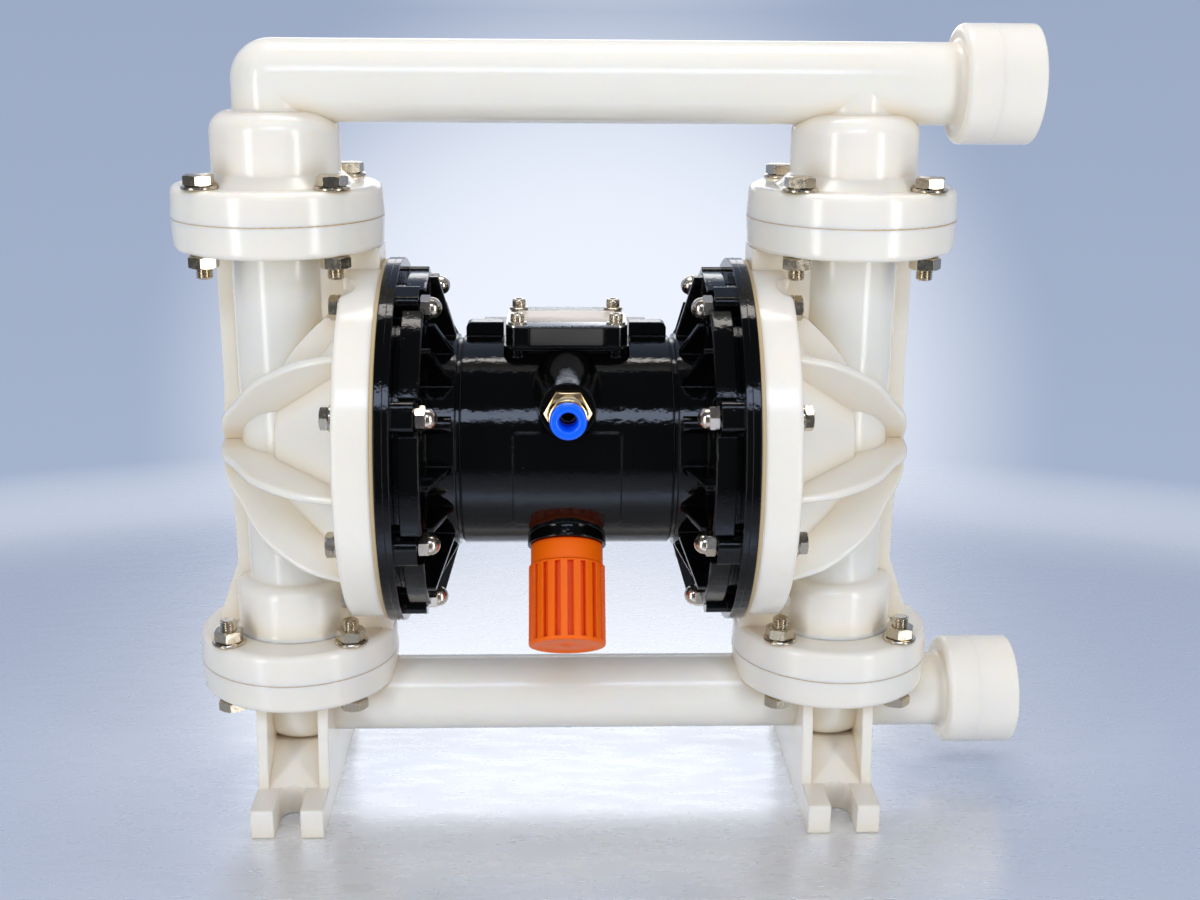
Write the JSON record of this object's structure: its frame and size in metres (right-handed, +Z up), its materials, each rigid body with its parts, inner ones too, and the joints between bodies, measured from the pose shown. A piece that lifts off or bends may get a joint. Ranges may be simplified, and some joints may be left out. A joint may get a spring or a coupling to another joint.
{
  "type": "air operated double diaphragm pump",
  "caption": "Plastic air operated double diaphragm pump with top and bottom pipe manifolds on bolted columns, a cast air section and a silencer.",
  "frame": {"origin": "middle of the foot slot pattern, on the plane of the foot soles", "axes": "+X along the shaft and both pipes towards the two ports, +Z up, -Y towards the air inlet and the silencer"},
  "size_m": [0.527, 0.2288, 0.486],
  "materials": {
    "natural_polypropylene": "moulded, satin gloss",
    "seat_polypropylene": "machined",
    "black_gloss_paint": "gloss paint over casting",
    "stainless_steel": "bright rolled",
    "nickel_plate": "bright plated",
    "black_rubber": "moulded",
    "ball_rubber": "ground",
    "gasket_sheet": "cut sheet",
    "ground_steel": "ground",
    "bare_aluminium": "turned",
    "plate_aluminium": "brushed sheet",
    "bronze": "turned",
    "brass": "turned, nickel flash",
    "blue_acetal": "moulded gloss",
    "orange_plastic": "moulded satin",
    "porous_plastic": "sintered",
    "zinc_steel": "zinc plated"
  },
  "bodies": {
    "housing": {"air_chamber_left": "black_gloss_paint", "air_chamber_right": "black_gloss_paint", "air_inlet_fitting": "brass", "centre_body": "black_gloss_paint", "centre_gaskets": "gasket_sheet", "chamber_screws": "zinc_steel", "clamp_bolts": "stainless_steel", "clamp_cap_nuts": "nickel_plate", "clamp_washers": "stainless_steel", "cover_plate": "plate_aluminium", "cover_screws": "stainless_steel", "diaphragm_left": "black_rubber", "diaphragm_right": "black_rubber", "discharge_flange_bolts": "stainless_steel", "discharge_flange_nuts": "stainless_steel", "discharge_flange_washers": "stainless_steel", "discharge_manifold": "natural_polypropylene", "discharge_seat_left": "seat_polypropylene", "discharge_seat_right": "seat_polypropylene", "fluid_cap_left": "natural_polypropylene", "fluid_cap_right": "natural_polypropylene", "muffler_body": "orange_plastic", "muffler_core": "porous_plastic", "pilot_cover": "black_gloss_paint", "pilot_cover_gasket": "gasket_sheet", "seat_seals": "black_rubber", "shaft_bushes": "bronze", "shaft_seals": "black_rubber", "suction_flange_bolts": "stainless_steel", "suction_flange_nuts": "stainless_steel", "suction_flange_washers": "stainless_steel", "suction_manifold": "natural_polypropylene", "suction_seat_left": "seat_polypropylene", "suction_seat_right": "seat_polypropylene", "valve_block": "black_gloss_paint", "valve_block_screws": "zinc_steel", "valve_end_caps": "black_gloss_paint", "valve_gasket": "gasket_sheet"},
    "shaft_assembly": {"diaphragm_shaft": "ground_steel", "inner_plates": "bare_aluminium", "outer_plates": "seat_polypropylene", "plate_bolts": "stainless_steel"},
    "pilot_rod": {"pilot_rod": "ground_steel"},
    "valve_spool": {"valve_spool": "bare_aluminium"},
    "release_collet": {"release_collet": "blue_acetal"},
    "discharge_ball_left": {"discharge_ball_left": "ball_rubber"},
    "discharge_ball_right": {"discharge_ball_right": "ball_rubber"},
    "suction_ball_left": {"suction_ball_left": "ball_rubber"},
    "suction_ball_right": {"suction_ball_right": "ball_rubber"}
  },
  "joints": [
    {"name": "shaft_slide", "type": "slide", "parent": "housing", "child": "shaft_assembly", "axis": [1, 0, 0], "range_m": [-0.012, 0.012], "deforming": ["diaphragm_left", "diaphragm_right"]},
    {"name": "pilot_slide", "type": "slide", "parent": "housing", "child": "pilot_rod", "axis": [1, 0, 0], "range_m": [-0.004, 0.004]},
    {"name": "spool_slide", "type": "slide", "parent": "housing", "child": "valve_spool", "axis": [1, 0, 0], "range_m": [-0.006, 0.006]},
    {"name": "collet_slide", "type": "slide", "parent": "housing", "child": "release_collet", "axis": [0, 1, 0], "range_m": [0, 0.0015], "stiffness_N_per_m": 300},
    {"name": "discharge_ball_left_lift", "type": "slide", "parent": "housing", "child": "discharge_ball_left", "axis": [0, 0, 1], "range_m": [0, 0.01]},
    {"name": "discharge_ball_right_lift", "type": "slide", "parent": "housing", "child": "discharge_ball_right", "axis": [0, 0, 1], "range_m": [0, 0.01]},
    {"name": "suction_ball_left_lift", "type": "slide", "parent": "housing", "child": "suction_ball_left", "axis": [0, 0, 1], "range_m": [0, 0.01]},
    {"name": "suction_ball_right_lift", "type": "slide", "parent": "housing", "child": "suction_ball_right", "axis": [0, 0, 1], "range_m": [0, 0.01]}
  ],
  "couplings": [
    {"joint": "pilot_slide", "follows": "shaft_slide", "ratio": 0.33333},
    {"joint": "spool_slide", "follows": "shaft_slide", "ratio": 0.5}
  ]
}
